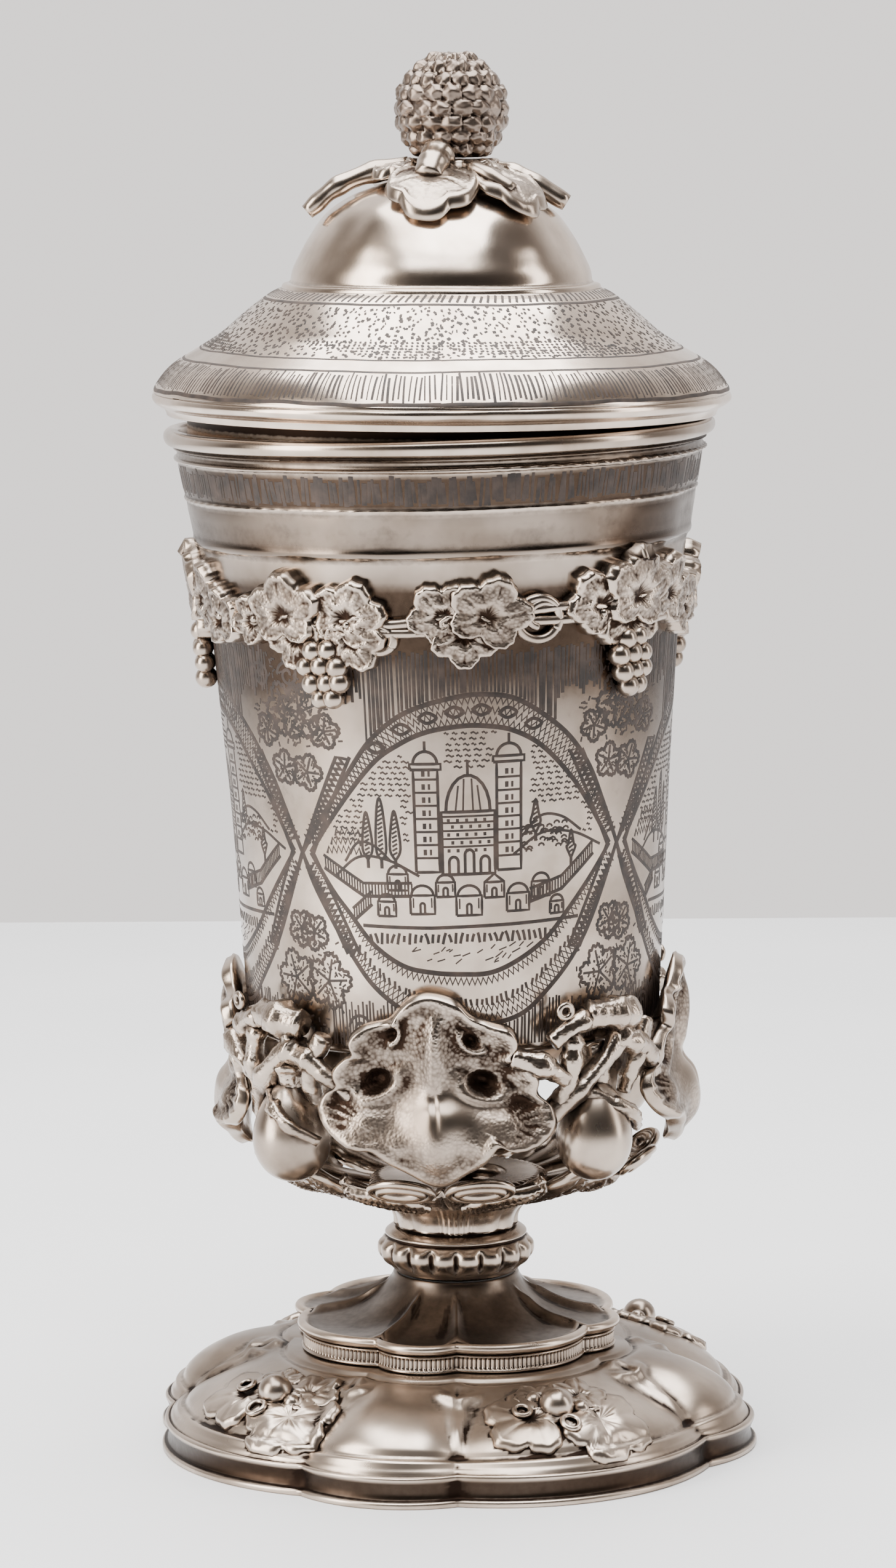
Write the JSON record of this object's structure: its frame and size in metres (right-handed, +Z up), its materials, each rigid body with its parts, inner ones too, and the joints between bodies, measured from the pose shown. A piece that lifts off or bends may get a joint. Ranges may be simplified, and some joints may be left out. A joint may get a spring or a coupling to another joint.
{
  "type": "kiddush cup",
  "caption": "Tall covered goblet: a tapering beaker in a leaf calyx on a short fluted stem and lobed foot, with a domed lift-off lid and a fruit finial.",
  "frame": {"origin": "on the table under the middle of the foot", "axes": "+Z up from the foot to the finial; -Y towards the front, where a single vine leaf and the middle of the engraved picture are"},
  "size_m": [0.1064, 0.1064, 0.2502],
  "materials": {
    "raised_silver": "raised silver sheet, polished by handling, with brown tarnish in the low places",
    "cast_silver": "cast silver, dark tarnish in the recesses and worn bright on the high places"
  },
  "bodies": {
    "root": {"foot_base": "raised_silver", "foot_gallery": "cast_silver", "foot_dish": "raised_silver", "knop_ring": "cast_silver", "stem": "cast_silver", "calyx": "cast_silver", "beaker": "raised_silver", "vine_band": "cast_silver", "lid": "raised_silver", "finial_spray": "cast_silver", "finial_fruit": "cast_silver"}
  },
  "joints": []
}
